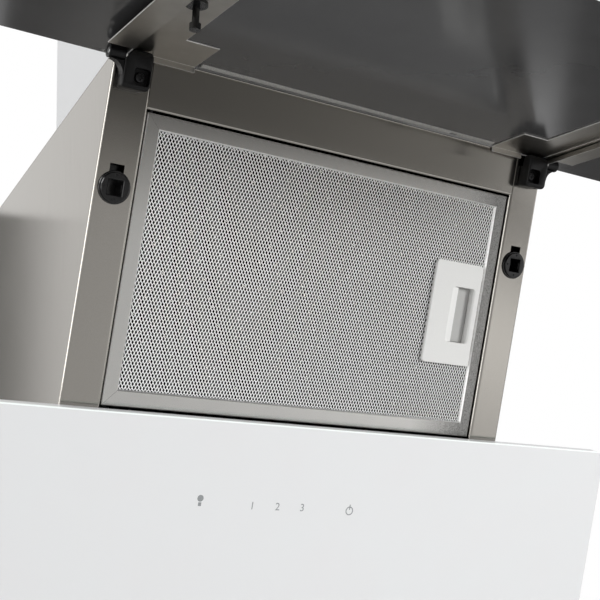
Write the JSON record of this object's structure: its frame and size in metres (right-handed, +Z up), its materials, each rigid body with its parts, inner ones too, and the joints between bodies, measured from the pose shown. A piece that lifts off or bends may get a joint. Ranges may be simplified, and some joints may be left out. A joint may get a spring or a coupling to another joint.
{
  "type": "wall mount range hood",
  "caption": "Slanted wall range hood with a swing-up glass panel, a latched mesh grease filter that swings out, touch controls, a fan with a flap outlet and a sliding flue cover.",
  "frame": {"origin": "on the wall, in the middle of the four wall screw holes of the rear panel", "axes": "+X to the right as one faces the hood, +Y into the wall, +Z up"},
  "size_m": [0.6, 0.5481, 0.7503],
  "materials": {
    "greige_sheet": "satin metallic paint",
    "zinc_sheet": "zinc-plated, satin",
    "white_sheet": "satin white paint",
    "white_glass": "back-painted white, polished",
    "dark_glass": "back-coated dark grey, polished",
    "filter_aluminium": "mill finish",
    "white_plastic": "moulded white",
    "grey_plastic": "moulded grey",
    "black_plastic": "moulded black",
    "steel": "bright plated",
    "rubber": "moulded",
    "pale_strip": "pale adhesive strip",
    "circuit_board": "green lacquer",
    "motor_shell": "cast, lacquered",
    "capacitor_case": "moulded",
    "lamp_lens": "frosted"
  },
  "bodies": {
    "housing": {"top_panel": "greige_sheet", "front_rail": "greige_sheet", "filter_stop_left": "greige_sheet", "filter_stop_right": "greige_sheet", "rear_panel": "zinc_sheet", "bottom_panel": "greige_sheet", "lower_front_panel": "greige_sheet", "side_panel_left": "greige_sheet", "side_panel_right": "greige_sheet", "lower_glass": "white_glass", "glass_bracket_left": "zinc_sheet", "glass_bracket_right": "zinc_sheet", "touch_board": "circuit_board", "touch_tray": "black_plastic", "control_box": "grey_plastic", "control_lid": "grey_plastic", "control_board": "circuit_board", "capacitor": "capacitor_case", "cable_gland": "black_plastic", "scroll_half_left": "black_plastic", "scroll_half_right": "black_plastic", "motor": "motor_shell", "motor_bracket": "zinc_sheet", "motor_screws": "steel", "outlet_collar": "black_plastic", "chimney_lower": "white_sheet", "hinge_block_left": "black_plastic", "hinge_block_right": "black_plastic", "hinge_screws": "steel", "catch_socket_left": "black_plastic", "catch_socket_right": "black_plastic", "lamp_left": "filter_aluminium", "lamp_right": "filter_aluminium", "lamp_lens_left": "lamp_lens", "lamp_lens_right": "lamp_lens", "lamp_boards": "circuit_board", "body_screws": "steel"},
    "upper_panel": {"upper_glass": "dark_glass", "panel_bracket_left": "zinc_sheet", "panel_bracket_right": "zinc_sheet", "hinge_pin_left": "steel", "hinge_pin_right": "steel", "hinge_bush_left": "black_plastic", "hinge_bush_right": "black_plastic", "catch_stud_left": "black_plastic", "catch_stud_right": "black_plastic", "panel_bumpers": "rubber", "panel_seal": "pale_strip"},
    "grease_filter": {"filter_rail_top": "filter_aluminium", "filter_rail_bottom": "filter_aluminium", "filter_rail_left": "filter_aluminium", "filter_rail_right": "filter_aluminium", "filter_mesh_front": "filter_aluminium", "filter_core": "filter_aluminium", "filter_mesh_back": "filter_aluminium", "filter_pegs": "steel", "filter_handle": "white_plastic"},
    "latch": {"latch_slider": "white_plastic"},
    "fan_wheel": {"impeller": "black_plastic", "motor_shaft": "steel"},
    "flap_front": {"damper_flap_front": "black_plastic"},
    "flap_rear": {"damper_flap_rear": "black_plastic"},
    "sliding_flue": {"chimney_upper": "white_sheet"}
  },
  "joints": [
    {"name": "panel_hinge", "type": "hinge", "parent": "housing", "child": "upper_panel", "pos_m": [0, -0.32454, 0.18934], "axis": [-1, 0, 0], "range_deg": [-103, 0]},
    {"name": "filter_swing", "type": "hinge", "parent": "housing", "child": "grease_filter", "pos_m": [-0.157, -0.25571, 0.07604], "axis": [0, 0.4384, -0.8988], "range_deg": [0, 40]},
    {"name": "latch_slide", "type": "slide", "parent": "grease_filter", "child": "latch", "axis": [-1, 0, 0], "range_m": [0, 0.006], "stiffness_N_per_m": 400},
    {"name": "fan_spin", "type": "hinge", "parent": "housing", "child": "fan_wheel", "pos_m": [0, -0.112, 0.046], "axis": [1, 0, 0], "continuous": true},
    {"name": "flap_front_swing", "type": "hinge", "parent": "housing", "child": "flap_front", "pos_m": [0, -0.115, 0.213], "axis": [-1, 0, 0], "range_deg": [0, 80]},
    {"name": "flap_rear_swing", "type": "hinge", "parent": "housing", "child": "flap_rear", "pos_m": [0, -0.109, 0.213], "axis": [1, 0, 0], "range_deg": [0, 80]},
    {"name": "flue_slide", "type": "slide", "parent": "housing", "child": "sliding_flue", "axis": [0, 0, 1], "range_m": [0, 0.25]}
  ]
}
